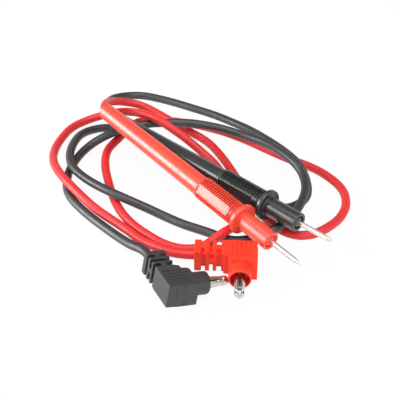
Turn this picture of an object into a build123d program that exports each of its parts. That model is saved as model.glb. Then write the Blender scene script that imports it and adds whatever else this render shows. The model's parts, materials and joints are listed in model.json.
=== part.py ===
from build123d import *
import math
import os

# Pair of test leads, red and black, lying as they were put down on a table.
# Each lead is a pen-shaped probe with a steel needle, a soft PVC lead, and a
# right-angle plug whose 4 mm pin carries a loose spring cage.
# Millimetres, +Z up.  The table is Z = 0.  +X runs along the red probe's handle
# towards its needle.  The origin is the bottom centre of the box round the two
# probes and the two plugs.

# ---------------------------------------------------------------- clearances
SLIP = 0.05            # radial gap of a part that is slid into another
PRESS_GAP = 0.02       # radial gap of a part that is moulded or pressed in
RUN_GAP = 0.06         # radial and end gap of the turning spring cage
CAVITY_GAP = 0.15      # space round the terminal inside the plug moulding
OVERCUT = 1.0          # how far a cutter runs past the face it opens

# ---------------------------------------------------------------- lead (wire)
LEAD_D = 3.6           # outside of the PVC jacket
CORE_D = 1.5           # bunched copper strands

# ---------------------------------------------------------------- probe handle
# Measured along the handle from the front face of the finger guard.
NOSE_LENGTH = 15.0
NOSE_D = 7.6
LIP_D = 7.8            # rolled rim at the front of the nose
LIP_LENGTH = 0.9
LIP_WIDTH = 1.0        # radial width of the rim's flat
RECESS_DEPTH = 0.45
GUARD_D = 12.5
GUARD_THICKNESS = 1.9
GUARD_EDGE = 0.6       # rounding of the guard's rim
FLARE_LENGTH = 1.9     # cone that carries the guard's back
FLARE_D = 9.6
GRIP_LENGTH = 25.0     # guard face to the end of the grip moulding
GRIP_D = 8.9           # over the ridges
RIDGE_HEIGHT = 0.28
RIDGE_PITCH = 1.12
RIDGE_WIDTH = 0.62
PLAIN_COLLAR = 1.3     # plain band at the end of the grip
PANEL_START = 5.9      # behind the guard's face
PANEL_END = 23.7
PANEL_DEPTH = 0.42     # of the flat below the ridges
PANEL_RIM = 0.35       # raised outline round the flat
PANEL_FLOOR = 0.15     # depth of the flat inside its outline

# ---------------------------------------------------------------- rear barrel
BARREL_LENGTH = 64.5
BARREL_FRONT_D = 8.3
BARREL_REAR_D = 7.0
TAIL_ROUND = 1.2       # rounding of the barrel's closed end
BARREL_WALL = 1.15
SPIGOT_LENGTH = 7.0
SPIGOT_D = 6.3
TAIL_WALL = 6.0        # thickness of the closed end round the lead
MOUTH_DEPTH = 3.0      # flared mouth where the lead comes out
MOUTH_D = 4.5

# ---------------------------------------------------------------- needle
NEEDLE_D = 2.0
NEEDLE_EXPOSED = 15.5
NEEDLE_CONE = 2.6
NEEDLE_TIP_R = 0.18
ROOT_D = 2.4           # thicker root held in the nose, up to the recess
SHANK_D = 3.2          # upset collar held in the nose moulding
SHANK_LENGTH = 5.0
SHANK_FROM = 1.0       # behind the guard's face
CUP_D = 2.6            # solder cup behind the collar
CUP_LENGTH = 6.0
CUP_DEPTH = 4.5
SOLDER_D = 2.3
SOLDER_LENGTH = 0.8
STRIP_LENGTH = 7.0     # bared copper between cup and jacket

# ---------------------------------------------------------------- plug
# Local axes: +X along the pin, +Y out of the strain relief, +Z through the
# ribbed faces; the origin is the middle of the block.
BLOCK_X = 11.8
BLOCK_Y = 12.6
BLOCK_Z = 9.0
BLOCK_EDGE = 0.45
CORNER_R = 2.4         # rounded inner corner of the elbow
NECK_STEP = 3.0        # block face down to the neck beside the strain relief
NECK_LENGTH = 2.0
SHOULDER = 0.8         # neck carried on past the block, at the fins' width
STEP_FROM_BACK = 3.3   # line across the outer face, from the back of the block
STEP_DEPTH = 0.2
RIB_COUNT = 5
RIB_PITCH = 1.66
RIB_WIDTH = 0.8
RIB_LENGTH = 7.1
RIB_HEIGHT = 0.3
RIB_SHIFT_X = -1.1
RIB_SHIFT_Y = 0.25
COLLAR_D = 8.5
COLLAR_LENGTH = 6.0
COLLAR_ROUND = 0.9
RECESS_D = 7.1
SHROUD_DEPTH = 5.0     # open annulus round the root of the pin

# strain relief: fins, gaps and the core between them, outwards from the neck;
# narrow ribs join the fins, upright and across by turns
FIN_X = 7.8
FIN_Z = 9.0
FIN_EDGE = 0.5
FIN_WIDTHS = (1.3, 1.6, 2.6)
GAP_WIDTHS = (1.8, 1.35, 1.35)
CORE_X = 4.9
CORE_Z = 5.1
RIB_UPRIGHT = 2.1      # rib from top to bottom, in the first and last gap
RIB_ACROSS = 1.9       # rib from side to side, in the middle gap
FIN_SINK = 0.1         # fins stand in from the block's ribbed faces

# ---------------------------------------------------------------- plug metal
INSERT_BACK = 1.4      # hard insert reaches this far behind the block's middle
SHAFT_D = 3.0          # of the pin inside the insert
SHOULDER_D = 3.7
SHOULDER_LENGTH = 1.0
SPINDLE_D = 2.5        # lands on which the cage's rings turn
WAIST_D = 1.7          # of the spindle between the lands
PIN_REACH = 14.6       # block face to the rounded end of the pin
HEAD_D = 3.7
HEAD_LENGTH = 2.6
HEAD_ROUND = 1.8
HEAD_SLIT = 0.45       # cross slits that leave four lobes
HEAD_SLIT_DEPTH = 1.5
CAGE_D = 4.1           # over the leaves, at rest
CAGE_END_D = 3.5
CAGE_WALL = 0.3
CAGE_RING = 1.1
CAGE_FLAT = 3.6        # straight middle stretch of the leaves
LEAF_COUNT = 4
SLOT_ANGLE = 21.5      # degrees, between two leaves
LUG_THICKNESS = 0.6
LUG_SIZE = 4.4
LUG_REACH = 3.9        # the lug reaches past the insert before the crimp
CRIMP_D = 2.4
CRIMP_LENGTH = 3.0
PLUG_STRIP = 0.8       # bared copper between crimp and jacket

# ---------------------------------------------------------------- as they lie
# Probe: place of the guard's front face, then heading, nose-down pitch, roll.
PROBES = {
    "red": dict(at=(29.2, 15.5, 10.0), heading=0.0, pitch=5.7, roll=60.0),
    "black": dict(at=(29.8, 28.0, 11.3), heading=5.1, pitch=1.2, roll=77.0),
}
# Plug: place of the middle of the block.
PLUGS = {
    "red": dict(at=(41.4, 2.8, 4.8), heading=-43.5, pitch=0.0, roll=180.0),
    "black": dict(at=(39.2, -25.9, 6.5), heading=73.9, pitch=12.0, roll=-2.5),
}
# How far each cage happens to be turned on its spindle.
CAGE_TURN = {"red": 0.0, "black": 40.0}


def place(at, heading, pitch, roll):
    """Location that turns +X to the heading, tips it down and rolls it."""
    return Pos(*at) * Rot(0, 0, heading) * Rot(0, pitch, 0) * Rot(roll, 0, 0)


def turned(points):
    """Solid turned about X from an outline of (along, radius) points."""
    face = make_face(Polyline(*points, close=True))
    return revolve(face, Axis.X)


def rod(diameter, start, end):
    """Round rod along X."""
    return Pos((start + end) / 2, 0, 0) * Rot(0, 90, 0) * Cylinder(diameter / 2, end - start)


def tube(outer, inner, start, end):
    """Round tube along X."""
    return rod(outer, start, end) - rod(inner, start - OVERCUT, end + OVERCUT)


# ================================================================ probe pieces
GRIP_BACK = -GRIP_LENGTH
BARREL_BACK = GRIP_BACK - BARREL_LENGTH
LEAD_START = BARREL_BACK + MOUTH_DEPTH
SOCKET_BACK = GRIP_BACK + SPIGOT_LENGTH + SLIP
SHANK_BACK = -SHANK_FROM - SHANK_LENGTH
CUP_BACK = SHANK_BACK - CUP_LENGTH
JACKET_FRONT = CUP_BACK - STRIP_LENGTH
NEEDLE_END = NOSE_LENGTH + NEEDLE_EXPOSED
RECESS_FLOOR = NOSE_LENGTH - RECESS_DEPTH
BORE_D = SPIGOT_D - 2 * BARREL_WALL


def grip_body():
    """Nose, finger guard and ridged grip in one moulding."""
    root_r = GRIP_D / 2 - RIDGE_HEIGHT
    blank = turned([
        (GRIP_BACK, 0), (GRIP_BACK, root_r), (-GUARD_THICKNESS - FLARE_LENGTH, root_r),
        (-GUARD_THICKNESS, FLARE_D / 2), (-GUARD_THICKNESS, GUARD_D / 2), (0, GUARD_D / 2),
        (0, NOSE_D / 2), (NOSE_LENGTH - LIP_LENGTH, NOSE_D / 2),
        (NOSE_LENGTH - LIP_LENGTH, LIP_D / 2), (NOSE_LENGTH, LIP_D / 2), (NOSE_LENGTH, 0),
    ])
    rims = blank.edges().filter_by(GeomType.CIRCLE)
    rims = [e for e in rims if abs(e.radius - GUARD_D / 2) < SLIP]
    blank = fillet(rims, GUARD_EDGE)
    # ridges, with a plain band at the back end
    blank += rod(GRIP_D, GRIP_BACK, GRIP_BACK + PLAIN_COLLAR)
    ridge_room = GRIP_LENGTH - PLAIN_COLLAR - GUARD_THICKNESS - FLARE_LENGTH
    for i in range(int(ridge_room / RIDGE_PITCH)):
        start = GRIP_BACK + PLAIN_COLLAR + RIDGE_PITCH * (i + 1) - RIDGE_WIDTH
        blank += rod(GRIP_D, start, start + RIDGE_WIDTH)
    # two flat panels, each with a raised outline
    mid = -(PANEL_START + PANEL_END) / 2
    length = PANEL_END - PANEL_START
    depth = GRIP_D / 2
    for side in (1, -1):
        z_rim = side * (GRIP_D / 2 - PANEL_DEPTH)
        width = 2 * math.sqrt(depth ** 2 - z_rim ** 2)
        blank -= Pos(mid, 0, z_rim + side * depth / 2) * Box(length, GRIP_D, depth)
        inner = Box(length - 2 * PANEL_RIM, width - 2 * PANEL_RIM, 2 * PANEL_FLOOR)
        blank -= Pos(mid, 0, z_rim) * inner
    # front recess, needle hole, cup bore and the socket for the rear barrel
    blank -= rod(LIP_D - 2 * LIP_WIDTH, RECESS_FLOOR, NOSE_LENGTH + OVERCUT)
    blank -= rod(ROOT_D + 2 * PRESS_GAP, GRIP_BACK, NOSE_LENGTH)
    blank -= rod(SHANK_D + 2 * PRESS_GAP, GRIP_BACK, -SHANK_FROM + PRESS_GAP)
    blank -= rod(BORE_D, GRIP_BACK, SHANK_BACK)
    blank -= rod(SPIGOT_D + 2 * SLIP, GRIP_BACK - OVERCUT, SOCKET_BACK)
    return blank


def rear_barrel():
    """Tapered tube that plugs into the grip and ends round the lead."""
    front_r = BARREL_FRONT_D / 2
    shell = turned([
        (BARREL_BACK, 0), (BARREL_BACK, BARREL_REAR_D / 2), (GRIP_BACK, front_r),
        (GRIP_BACK, SPIGOT_D / 2), (GRIP_BACK + SPIGOT_LENGTH, SPIGOT_D / 2),
        (GRIP_BACK + SPIGOT_LENGTH, 0),
    ])
    end = shell.edges().filter_by(GeomType.CIRCLE).sort_by(Axis.X)[0]
    shell = fillet(end, TAIL_ROUND)
    shell -= rod(BORE_D, BARREL_BACK + TAIL_WALL, GRIP_BACK + SPIGOT_LENGTH + OVERCUT)
    shell -= rod(LEAD_D + 2 * PRESS_GAP, BARREL_BACK - OVERCUT, BARREL_BACK + TAIL_WALL + OVERCUT)
    throat_r = LEAD_D / 2 + PRESS_GAP
    mouth = turned([
        (BARREL_BACK - OVERCUT, 0), (BARREL_BACK - OVERCUT, MOUTH_D / 2), (BARREL_BACK, MOUTH_D / 2),
        (LEAD_START, throat_r), (LEAD_START, 0),
    ])
    return shell - mouth


def needle():
    """Steel needle with its held collar and the solder cup behind it."""
    r = NEEDLE_D / 2
    body = turned([
        (CUP_BACK, 0), (CUP_BACK, CUP_D / 2), (SHANK_BACK, CUP_D / 2),
        (SHANK_BACK, SHANK_D / 2), (-SHANK_FROM, SHANK_D / 2), (-SHANK_FROM, ROOT_D / 2),
        (RECESS_FLOOR, ROOT_D / 2), (RECESS_FLOOR, r),
        (NEEDLE_END - NEEDLE_CONE, r), (NEEDLE_END, NEEDLE_TIP_R), (NEEDLE_END, 0),
    ])
    return body - rod(CORE_D + 2 * PRESS_GAP, CUP_BACK - OVERCUT, CUP_BACK + CUP_DEPTH)


def solder_joint():
    """Ring of solder where the strands enter the cup."""
    r = CORE_D / 2 + PRESS_GAP
    return turned([
        (CUP_BACK, r), (CUP_BACK, SOLDER_D / 2), (CUP_BACK - SOLDER_LENGTH, r),
    ])


def handle_strands():
    """Bared copper from the jacket's end into the cup."""
    return rod(CORE_D, JACKET_FRONT, CUP_BACK + CUP_DEPTH - PRESS_GAP)


def handle_wire():
    """Jacketed lead inside the handle."""
    return rod(LEAD_D, LEAD_START, JACKET_FRONT)


# ================================================================ plug pieces
BLOCK_BACK = -BLOCK_X / 2
BLOCK_FACE = BLOCK_X / 2
COLLAR_END = BLOCK_FACE + COLLAR_LENGTH
PIN_END = BLOCK_FACE + PIN_REACH
INSERT_FACE = COLLAR_END - SHROUD_DEPTH
RELIEF_X = BLOCK_BACK + FIN_X / 2
RELIEF_START = BLOCK_Y / 2
RELIEF_LENGTH = SHOULDER + sum(FIN_WIDTHS) + sum(GAP_WIDTHS)
RELIEF_END = RELIEF_START + RELIEF_LENGTH
LUG_FACE = -INSERT_BACK
LUG_BACK = LUG_FACE - LUG_THICKNESS
CRIMP_START = LUG_REACH - SLIP
CRIMP_END = CRIMP_START + CRIMP_LENGTH
PLUG_JACKET_START = CRIMP_END + PLUG_STRIP
INSERT_D = RECESS_D - 2 * PRESS_GAP
SHOULDER_END = INSERT_FACE + SHOULDER_LENGTH
CAGE_START = SHOULDER_END + RUN_GAP
HEAD_START = PIN_END - HEAD_LENGTH
CAGE_END = HEAD_START - RUN_GAP


def block_outline():
    """Plan of the block: full width at the pin, stepped back to the neck."""
    top = BLOCK_Y / 2
    step_y = top - NECK_LENGTH
    line = Polyline(
        (BLOCK_BACK, -top), (BLOCK_FACE, -top), (BLOCK_FACE, step_y),
        (BLOCK_FACE - NECK_STEP, step_y), (BLOCK_FACE - NECK_STEP, top),
        (BLOCK_BACK, top), close=True,
    )
    face = make_face(line)
    corner = face.vertices().sort_by_distance((BLOCK_FACE, step_y, 0))[0]
    return fillet(corner, CORNER_R)


def finger_ribs():
    """Raised ribs on both broad faces of the block."""
    ribs = []
    span = RIB_PITCH * (RIB_COUNT - 1)
    for side in (1, -1):
        for i in range(RIB_COUNT):
            y = RIB_SHIFT_Y - span / 2 + i * RIB_PITCH
            rib = Box(RIB_LENGTH, RIB_WIDTH, 2 * RIB_HEIGHT)
            rib = fillet(rib.edges().filter_by(Axis.X).sort_by(Axis.Z)[-2:], RIB_HEIGHT / 2)
            turn = Rot(0 if side > 0 else 180, 0, 0)
            seat = BLOCK_Z / 2 * side
            ribs.append(Pos(RIB_SHIFT_X, y, seat) * turn * rib)
    return ribs


def strain_relief():
    """Fins on a core; the ribs between them turn a quarter at every gap."""
    height = FIN_Z - 2 * FIN_SINK
    y = RELIEF_START + SHOULDER
    shoulder = Pos(RELIEF_X, RELIEF_START + SHOULDER / 2, 0)
    pieces = [shoulder * Box(FIN_X, SHOULDER, height)]
    for i, (gap, fin) in enumerate(zip(GAP_WIDTHS, FIN_WIDTHS)):
        across = i % 2 == 1
        rib = Box(FIN_X, gap, RIB_ACROSS) if across else Box(RIB_UPRIGHT, gap, height)
        middle = Pos(RELIEF_X, y + gap / 2, 0)
        pieces += [middle * Box(CORE_X, gap, CORE_Z), middle * rib]
        y += gap
        plate = Box(FIN_X, fin, height)
        plate = fillet(plate.edges().filter_by(Axis.Y), FIN_EDGE)
        pieces.append(Pos(RELIEF_X, y + fin / 2, 0) * plate)
        y += fin
    return pieces


def plug_housing():
    """Right-angle moulding: block, collar, ribs and strain relief."""
    block = extrude(block_outline(), BLOCK_Z / 2, both=True)
    step = Box(STEP_FROM_BACK, 2 * STEP_DEPTH, BLOCK_Z)
    block -= Pos(BLOCK_BACK + STEP_FROM_BACK / 2, -BLOCK_Y / 2, 0) * step
    block = fillet(block.edges().filter_by(Axis.Z).sort_by(Axis.X)[0], BLOCK_EDGE)
    collar = rod(COLLAR_D, 0, COLLAR_END)
    collar = fillet(collar.edges().filter_by(GeomType.CIRCLE).sort_by(Axis.X)[-1], COLLAR_ROUND)
    body = block + collar
    body += finger_ribs()
    body += strain_relief()
    # bore for the insert, room for the terminal, and the lead's own hole
    body -= rod(RECESS_D, LUG_FACE - CAVITY_GAP, COLLAR_END + OVERCUT)
    room = LUG_SIZE + 2 * CAVITY_GAP
    body -= Pos((LUG_FACE + LUG_BACK) / 2, 0, 0) * Box(LUG_THICKNESS + 2 * CAVITY_GAP, room, room)
    tunnel = Rot(-90, 0, 0)
    crimp_room = PLUG_JACKET_START
    body -= (Pos(RELIEF_X, crimp_room / 2, 0) * tunnel
             * Cylinder(CRIMP_D / 2 + CAVITY_GAP, crimp_room))
    jacket = RELIEF_END - PLUG_JACKET_START
    body -= (Pos(RELIEF_X, PLUG_JACKET_START + jacket / 2, 0) * tunnel
             * Cylinder(LEAD_D / 2 + PRESS_GAP, jacket + SLIP))
    return body


def plug_insert():
    """Hard insert that holds the pin in the middle of the collar."""
    return tube(INSERT_D, SHAFT_D + 2 * PRESS_GAP, LUG_FACE, INSERT_FACE)


def plug_pin():
    """Pin: shaft, shoulder, waisted spindle for the cage and a four-lobed head."""
    r = HEAD_D / 2
    land_a = SHOULDER_END + RUN_GAP + CAGE_RING
    land_b = HEAD_START - RUN_GAP - CAGE_RING
    body = turned([
        (LUG_BACK, 0), (LUG_BACK, SHAFT_D / 2 - CORE_D / 2), (LUG_FACE, SHAFT_D / 2 - CORE_D / 2),
        (LUG_FACE, SHAFT_D / 2), (INSERT_FACE, SHAFT_D / 2), (INSERT_FACE, SHOULDER_D / 2),
        (SHOULDER_END, SHOULDER_D / 2), (SHOULDER_END, SPINDLE_D / 2), (land_a, SPINDLE_D / 2),
        (land_a, WAIST_D / 2), (land_b, WAIST_D / 2), (land_b, SPINDLE_D / 2),
        (HEAD_START, SPINDLE_D / 2), (HEAD_START, r), (PIN_END, r), (PIN_END, 0),
    ])
    nose = body.edges().filter_by(GeomType.CIRCLE).sort_by(Axis.X)[-1]
    body = fillet(nose, min(HEAD_ROUND, r - SLIP))
    for turn in (45, -45):
        slit = Box(2 * HEAD_SLIT_DEPTH, HEAD_D + OVERCUT, HEAD_SLIT)
        body -= Pos(PIN_END, 0, 0) * Rot(turn, 0, 0) * slit
    return body


def spring_cage():
    """Four bowed leaves between two rings, free to turn on the spindle."""
    bore = SPINDLE_D / 2 + RUN_GAP
    end_r = CAGE_END_D / 2
    mid_r = CAGE_D / 2
    middle = (CAGE_START + CAGE_END) / 2
    flat_a = middle - CAGE_FLAT / 2
    flat_b = middle + CAGE_FLAT / 2
    ring_a = CAGE_START + CAGE_RING
    ring_b = CAGE_END - CAGE_RING
    cage = turned([
        (CAGE_START, bore), (CAGE_START, end_r), (ring_a, end_r), (flat_a, mid_r),
        (flat_b, mid_r), (ring_b, end_r), (CAGE_END, end_r), (CAGE_END, bore),
        (ring_b, bore), (flat_b, mid_r - CAGE_WALL), (flat_a, mid_r - CAGE_WALL),
        (ring_a, bore),
    ])
    reach = CAGE_D
    slot_length = ring_b - ring_a
    half = math.radians(SLOT_ANGLE / 2)
    for i in range(LEAF_COUNT):
        wedge = make_face(Polyline(
            (0, 0), (reach, -reach * math.tan(half)), (reach, reach * math.tan(half)),
            close=True,
        ))
        cutter = extrude(wedge, slot_length / 2, both=True)
        cutter = Rot(0, 90, 0) * cutter
        turn = Rot(360 / LEAF_COUNT * i, 0, 0)
        cage -= Pos(middle, 0, 0) * turn * cutter
    return cage


def crimp_terminal():
    """Lug riveted to the pin, with the crimped barrel along the lead."""
    hole = SHAFT_D - CORE_D + 2 * PRESS_GAP
    x = (LUG_FACE + LUG_BACK) / 2
    lug = Pos(x, 0, 0) * Box(LUG_THICKNESS, LUG_SIZE, LUG_SIZE)
    tongue = LUG_REACH / 2
    lug += Pos(x, tongue, 0) * Box(LUG_THICKNESS, LUG_REACH, CRIMP_D)
    lug -= rod(hole, LUG_BACK - OVERCUT, LUG_FACE + OVERCUT)
    barrel = Pos(RELIEF_X, CRIMP_START + CRIMP_LENGTH / 2, 0) * Rot(-90, 0, 0)
    lug += barrel * Cylinder(CRIMP_D / 2, CRIMP_LENGTH)
    lug -= barrel * Cylinder(CORE_D / 2 + PRESS_GAP, CRIMP_LENGTH + OVERCUT)
    return lug


def plug_strands():
    """Copper strands from the jacket's end through the crimp."""
    length = PLUG_JACKET_START - CRIMP_START - SLIP
    return (Pos(RELIEF_X, PLUG_JACKET_START - length / 2, 0) * Rot(-90, 0, 0)
            * Cylinder(CORE_D / 2, length))


def plug_wire():
    """Jacketed lead inside the strain relief."""
    length = RELIEF_END - PLUG_JACKET_START
    return (Pos(RELIEF_X, PLUG_JACKET_START + length / 2, 0) * Rot(-90, 0, 0)
            * Cylinder(LEAD_D / 2, length))


# ================================================================ leads
# Corner points of each lead, between the two pieces it comes out of.
RED_ROUTE = [
    (-65.8, 19.1, 17.8), (-71.2, 24.1, 15.2), (-75.2, 29.7, 12), (-75.2, 36.7, 9.2),
    (-70.4, 42.9, 7.3), (-60.6, 45.1, 6), (-52.4, 45.5, 5.8), (-42, 47.7, 4.2),
    (-32.6, 50.3, 2.5), (-20.2, 47.7, 1.8), (-5, 41.9, 1.8), (5, 37.5, 1.8), (15, 33.9, 1.8),
    (25, 30.5, 1.8), (34, 29.5, 1.8), (42, 31.9, 1.8), (46.6, 38.5, 1.8), (47.4, 46.5, 1.8),
    (46, 55.1, 1.8), (41, 63.9, 1.8), (31.4, 70.5, 1.8), (18.4, 71.7, 1.8), (9, 70.7, 1.8),
    (0, 69.3, 1.8), (-10.2, 66.5, 1.8), (-22.6, 64.9, 1.8), (-34, 62.3, 1.8), (-43, 58.7, 1.8),
    (-50.4, 54.9, 1.8), (-57.4, 50.5, 1.8), (-61.8, 44.1, 2.2), (-63, 37.9, 4.2),
    (-61.4, 31.9, 5.8), (-59.4, 25.9, 5.3), (-58.8, 19.7, 2.8), (-57, 13.7, 1.8), (-52, 8.5, 1.8),
    (-44.4, 3.1, 1.8), (-34, -2.5, 1.8), (-25, -6.9, 1.8), (-14.8, -10.3, 1.8),
    (-5.2, -11.3, 1.8), (3.4, -10.5, 1.8), (12, -8.9, 1.8), (18.4, -5.9, 1.8), (23.8, -1.3, 3),
    (25.9, 4.1, 5.3), (25.6, 9.5, 5.8), (23.4, 15.5, 3.6), (18.6, 21.9, 2), (9, 29.5, 1.8),
    (-3, 35.5, 1.8), (-14.8, 40.7, 2.2), (-24, 40.3, 4.6), (-31.4, 38.1, 8.5),
    (-38.2, 35.1, 12.2), (-45.2, 33.3, 14.2), (-53.4, 32.3, 13.8), (-63.8, 32.3, 10.6),
    (-74, 31.5, 6.3), (-80.6, 27.1, 3.1), (-83.4, 20.5, 1.8), (-82.6, 11.5, 1.8),
    (-77.4, 2.5, 1.8), (-71, -5.5, 1.8), (-61.4, -12.1, 3.4), (-48.6, -16.9, 6),
    (-38.6, -18.5, 6.2), (-28, -18.9, 5), (-20, -18.1, 3.2), (-11.4, -16.5, 2),
    (-2.8, -15.7, 1.8), (6, -16.3, 2.4), (14.8, -15.7, 4.2),
]
BLACK_ROUTE = [
    (-68.8, 22.7, 11.6), (-77, 27.1, 8.9), (-84, 33.1, 6.3), (-89, 39.7, 4.2), (-89.6, 47.7, 2.4),
    (-85.6, 54.7, 1.8), (-77.6, 58.9, 1.8), (-68.6, 62.5, 1.8), (-59, 65.5, 1.8),
    (-49.4, 68.7, 1.8), (-38, 70.7, 1.8), (-27.8, 70.9, 2.8), (-14.8, 68.9, 5.4), (-2, 67.1, 6.4),
    (8.6, 65.3, 6.2), (15.4, 62.7, 3.8), (21.8, 58.5, 1.8), (26.2, 53.1, 1.8), (27.4, 46.9, 1.8),
    (25.8, 41.1, 2.4), (21.6, 36.9, 4.2), (14.4, 35.2, 5.8), (7, 34.3, 6.2), (-0.4, 33.3, 5.9),
    (-10, 32.5, 5.5), (-21, 31.9, 3.6), (-33, 31.1, 2), (-46, 30.5, 1.8), (-58, 29.9, 1.8),
    (-67, 28.1, 1.8), (-73, 22.9, 1.8), (-75.2, 16.1, 1.8), (-72.8, 9.1, 3), (-65, 0.3, 5),
    (-57.2, -6.3, 6), (-49, -10.3, 6.2), (-41.2, -11.1, 6.2), (-33, -10.7, 6.2), (-24, -9.1, 6.2),
    (-16, -6.3, 5.4), (-8, -1.7, 3), (-0.4, 1.1, 1.8), (8.2, 3.3, 1.8), (14.6, 6, 1.8),
    (20.8, 7.2, 1.8), (26.5, 9.6, 1.8), (30.9, 13.6, 2), (34.6, 19.1, 3.8), (36.6, 24.5, 5.45),
    (36.6, 30.5, 5.45), (34.6, 37.1, 5.6), (31.4, 44.5, 6), (25.6, 53.3, 6), (18, 58.9, 7),
    (11, 61.1, 9), (2.4, 62.3, 9.2), (-9.8, 64.1, 7), (-21.6, 62.9, 5.4), (-31, 58.3, 6.5),
    (-37.4, 51.3, 8.6), (-42.6, 44.7, 9.8), (-47.2, 37.9, 10), (-51.4, 32.3, 10),
    (-54.4, 27.1, 9.2), (-58, 21.5, 7.9), (-61.2, 16.5, 5.8), (-63.4, 9.7, 3), (-61, 1.1, 1.8),
    (-53.8, -8.9, 1.8), (-47.6, -14.5, 1.8), (-41.2, -18.5, 1.8), (-35, -20.5, 1.8),
    (-23.2, -21.7, 1.8), (-10.6, -21.5, 1.8), (-0.2, -21.5, 2.4), (8, -22.1, 4.2),
]
ROUTES = {"red": RED_ROUTE, "black": BLACK_ROUTE}
FIRST_RUN = {"red": 3.8, "black": 5.2}     # straight out of the handle
LAST_RUN = {"red": 7.0, "black": 7.0}      # straight into the strain relief
ARC_SHARE = 0.45       # of the shorter run, used up by the arc at a corner


def lead_points(colour):
    """Corner points with both ends, straight out of the handle and the relief."""
    probe = place(**PROBES[colour])
    plug = place(**PLUGS[colour])
    start = (probe * Pos(LEAD_START, 0, 0)).position
    leave = (probe * Pos(LEAD_START - FIRST_RUN[colour], 0, 0)).position
    arrive = (plug * Pos(RELIEF_X, RELIEF_END + LAST_RUN[colour], 0)).position
    end = (plug * Pos(RELIEF_X, RELIEF_END, 0)).position
    return [start, leave] + [Vector(*p) for p in ROUTES[colour]] + [arrive, end]


def corner_radii(points):
    """Largest tangent arc that each corner's two runs allow."""
    radii = []
    for a, b, c in zip(points, points[1:], points[2:]):
        turn = math.radians((b - a).get_angle(c - b))
        shorter = min((b - a).length, (c - b).length)
        radii.append(ARC_SHARE * shorter / math.tan(turn / 2))
    return radii


def lead(colour):
    """Round lead along its route, and a check of its volume."""
    points = lead_points(colour)
    radii = corner_radii(points)
    path = FilletPolyline(*points, radius=radii)
    section = Plane(origin=points[0], z_dir=points[1] - points[0]) * Circle(LEAD_D / 2)
    solid = sweep(section, path=path)
    expected = math.pi * (LEAD_D / 2) ** 2 * path.length
    print(colour, "lead length", round(path.length, 1), "volume ratio",
          round(solid.volume / expected, 4))
    print("  radii", [round(r, 1) for r in radii])
    return solid


# ================================================================ export
PROBE_PIECES = {
    "grip_body": grip_body, "rear_barrel": rear_barrel, "needle": needle,
    "solder_joint": solder_joint, "handle_strands": handle_strands,
    "handle_wire": handle_wire,
}
PLUG_PIECES = {
    "plug_housing": plug_housing, "plug_insert": plug_insert, "plug_pin": plug_pin,
    "spring_cage": spring_cage, "crimp_terminal": crimp_terminal,
    "plug_strands": plug_strands, "plug_wire": plug_wire,
}


def main():
    os.makedirs("parts", exist_ok=True)
    lows, highs = [], []
    for pieces, places in ((PROBE_PIECES, PROBES), (PLUG_PIECES, PLUGS)):
        for name, make in pieces.items():
            solid = make()
            for colour, where in places.items():
                turn = Rot(CAGE_TURN[colour], 0, 0) if make is spring_cage else Rot(0, 0, 0)
                placed = place(**where) * turn * solid
                placed.label = f"{colour}_{name}"
                export_step(placed, f"parts/{placed.label}.step")
                box = placed.bounding_box()
                lows.append(tuple(box.min))
                highs.append(tuple(box.max))
    for colour in ROUTES:
        solid = lead(colour)
        solid.label = f"{colour}_lead"
        export_step(solid, f"parts/{solid.label}.step")
    low = [min(v) for v in zip(*lows)]
    high = [max(v) for v in zip(*highs)]
    print("box without the leads", [round(v, 2) for v in low], [round(v, 2) for v in high])


main()
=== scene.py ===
"""Looks of a pair of test leads: two needle probes, their soft leads and two right-angle plugs.

Sizes inside the classes are in millimetres, in each sub-assembly's own axes: a probe
runs along +X from the front face of its finger guard, and a plug has its pin along +X,
its strain relief along +Y and its ribbed faces along Z, round the middle of its block.
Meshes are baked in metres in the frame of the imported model.
"""

from __future__ import annotations

import json
import logging
import math
from dataclasses import dataclass
from enum import Enum
from typing import Callable, Iterable, Sequence

import bmesh
import bpy
from mathutils import Matrix, Vector

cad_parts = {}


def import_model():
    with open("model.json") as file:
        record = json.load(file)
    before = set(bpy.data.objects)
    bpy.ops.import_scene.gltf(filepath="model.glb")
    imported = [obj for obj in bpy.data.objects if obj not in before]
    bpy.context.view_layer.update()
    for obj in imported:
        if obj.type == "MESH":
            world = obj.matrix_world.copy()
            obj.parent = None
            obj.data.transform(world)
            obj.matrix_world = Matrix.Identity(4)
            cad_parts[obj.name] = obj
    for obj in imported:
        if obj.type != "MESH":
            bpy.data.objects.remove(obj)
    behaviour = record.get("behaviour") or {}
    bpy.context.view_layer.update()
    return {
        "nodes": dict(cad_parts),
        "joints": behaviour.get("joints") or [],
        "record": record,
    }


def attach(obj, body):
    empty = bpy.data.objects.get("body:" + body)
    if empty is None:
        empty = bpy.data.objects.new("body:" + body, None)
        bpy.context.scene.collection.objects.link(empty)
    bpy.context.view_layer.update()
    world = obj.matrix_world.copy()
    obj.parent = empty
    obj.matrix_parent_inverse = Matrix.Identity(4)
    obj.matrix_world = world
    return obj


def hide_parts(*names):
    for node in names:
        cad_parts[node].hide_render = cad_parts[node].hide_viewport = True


LOG = logging.getLogger("test_leads")

MM = 0.001
ROOT_BODY = "test_leads"
KNURL_SHADE_ATTRIBUTE = "painted_knurl_shade"            # attribute that is 1 at the bottom of a knurl's grooves, where shade is painted
TINY = 1e-6                  # a length that counts as none
MERGE = 1e-5                 # vertices nearer than this become one
WELD = 1e-4                  # the same, after a cut
CREASE = math.radians(38)    # an edge turning more than this stays crisp

Build = bmesh.types.BMesh
Material = bpy.types.Material
Mesh = bpy.types.Mesh
Node = bpy.types.Node
Piece = bpy.types.Object
Socket = bpy.types.NodeSocket
Pair = tuple[float, float]
Triple = tuple[float, float, float]
Inputs = dict[str | int, object]


class Colour(Enum):
    """The two leads of the pair."""

    RED = "red"
    BLACK = "black"

    def named(self, piece: str) -> str:
        """Name of this lead's own piece, node, slot or joint of that kind."""
        return f"{self.value}_{piece}"


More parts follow.
